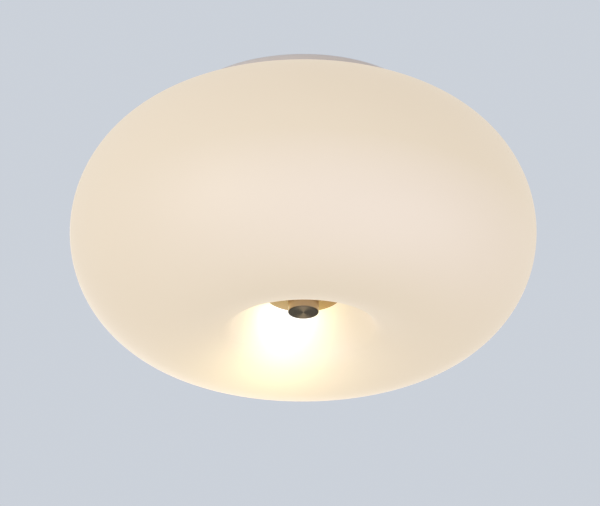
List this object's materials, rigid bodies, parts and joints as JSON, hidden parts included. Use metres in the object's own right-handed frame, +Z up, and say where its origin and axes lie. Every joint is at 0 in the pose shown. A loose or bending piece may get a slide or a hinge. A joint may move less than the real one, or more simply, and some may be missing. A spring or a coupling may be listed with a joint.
{
  "type": "flush mount ceiling light",
  "caption": "Flush mount ceiling light: an oblate opal glass shade with a dimpled underside, held to a white ceiling pan by a centre rod, a nickel cover plate and a turned knob.",
  "frame": {"origin": "centre of the pan's face that lies against the ceiling", "axes": "+Z up into the ceiling, the light hangs below along -Z, the two lamps stand side by side on the Y axis"},
  "size_m": [0.3599, 0.36, 0.1995],
  "materials": {
    "white_enamel": "satin powder coat",
    "white_rubber": "matt",
    "zinc_plate": "zinc plated, satin",
    "spring_steel": "satin",
    "porcelain": "glazed",
    "brass": "satin",
    "block_plastic": "moulded",
    "nickel_screw": "nickel plated",
    "tinned_copper": "tinned",
    "live_sleeve": "matt",
    "neutral_sleeve": "matt",
    "earth_sleeve": "matt, striped",
    "opal_glass": "satin opal",
    "silicone": "soft",
    "brushed_nickel": "brushed",
    "turned_nickel": "turned",
    "nylon": "natural",
    "lamp_solder": "dull",
    "lamp_insulator": "gloss",
    "lamp_cap": "satin",
    "lamp_opal": "satin opal",
    "lamp_stem": "clear",
    "lamp_phosphor": "matt"
  },
  "bodies": {
    "base": {"ceiling_pan": "white_enamel", "edge_trim": "white_rubber", "bridge": "zinc_plate", "bridge_rivets": "nickel_screw", "centring_clips": "spring_steel", "clip_rivets": "nickel_screw", "rod": "zinc_plate", "rod_washers": "zinc_plate", "rod_nut_upper": "zinc_plate", "rod_nut_lower": "zinc_plate", "cable_bush": "white_rubber", "holder_screws": "nickel_screw", "terminal_block": "block_plastic", "terminal_clamps": "brass", "terminal_screws": "nickel_screw", "block_rivets": "nickel_screw", "earth_screw": "brass", "earth_nut": "brass", "earth_tag": "tinned_copper", "live_wires": "live_sleeve", "neutral_wires": "neutral_sleeve", "earth_wire": "earth_sleeve", "lampholder_body_a": "porcelain", "lampholder_shell_a": "brass", "lampholder_contact_a": "brass", "lampholder_body_b": "porcelain", "lampholder_shell_b": "brass", "lampholder_contact_b": "brass"},
    "shade": {"glass_shade": "opal_glass", "glass_dimple": "opal_glass", "seat_gasket": "silicone"},
    "plate": {"cover_plate": "brushed_nickel"},
    "knob": {"knob": "turned_nickel", "knob_washer": "nylon"},
    "lamp_a_lift": {"lamp_tip_a": "lamp_solder"},
    "lamp_a": {"lamp_insulator_a": "lamp_insulator", "lamp_cap_a": "lamp_cap", "lamp_bulb_a": "lamp_opal", "lamp_mount_a": "lamp_stem", "lamp_filaments_a": "lamp_phosphor"},
    "lamp_b_lift": {"lamp_tip_b": "lamp_solder"},
    "lamp_b": {"lamp_insulator_b": "lamp_insulator", "lamp_cap_b": "lamp_cap", "lamp_bulb_b": "lamp_opal", "lamp_mount_b": "lamp_stem", "lamp_filaments_b": "lamp_phosphor"}
  },
  "joints": [
    {"name": "shade_lower", "type": "slide", "parent": "base", "child": "shade", "axis": [0, 0, -1], "range_m": [0, 0.16]},
    {"name": "plate_drop", "type": "slide", "parent": "shade", "child": "plate", "axis": [0, 0, -1], "range_m": [0, 0.00999]},
    {"name": "knob_turn", "type": "hinge", "parent": "plate", "child": "knob", "pos_m": [0, 0, -0.168], "axis": [0, 0, -1], "range_deg": [0, 2400]},
    {"name": "lamp_a_lift", "type": "slide", "parent": "base", "child": "lamp_a_lift", "axis": [0, 0, -1], "range_m": [0, 0.01206]},
    {"name": "lamp_a_turn", "type": "hinge", "parent": "lamp_a_lift", "child": "lamp_a", "pos_m": [0, 0.039, -0.08], "axis": [0, 0, -1], "range_deg": [0, 1200]},
    {"name": "lamp_b_lift", "type": "slide", "parent": "base", "child": "lamp_b_lift", "axis": [0, 0, -1], "range_m": [0, 0.01206]},
    {"name": "lamp_b_turn", "type": "hinge", "parent": "lamp_b_lift", "child": "lamp_b", "pos_m": [0, -0.039, -0.08], "axis": [0, 0, -1], "range_deg": [0, 1200]}
  ],
  "couplings": [
    {"joint": "knob_turn", "follows": "plate_drop", "rad_per_m": 4188.8},
    {"joint": "lamp_a_turn", "follows": "lamp_a_lift", "rad_per_m": 1735.7},
    {"joint": "lamp_b_turn", "follows": "lamp_b_lift", "rad_per_m": 1735.7}
  ]
}
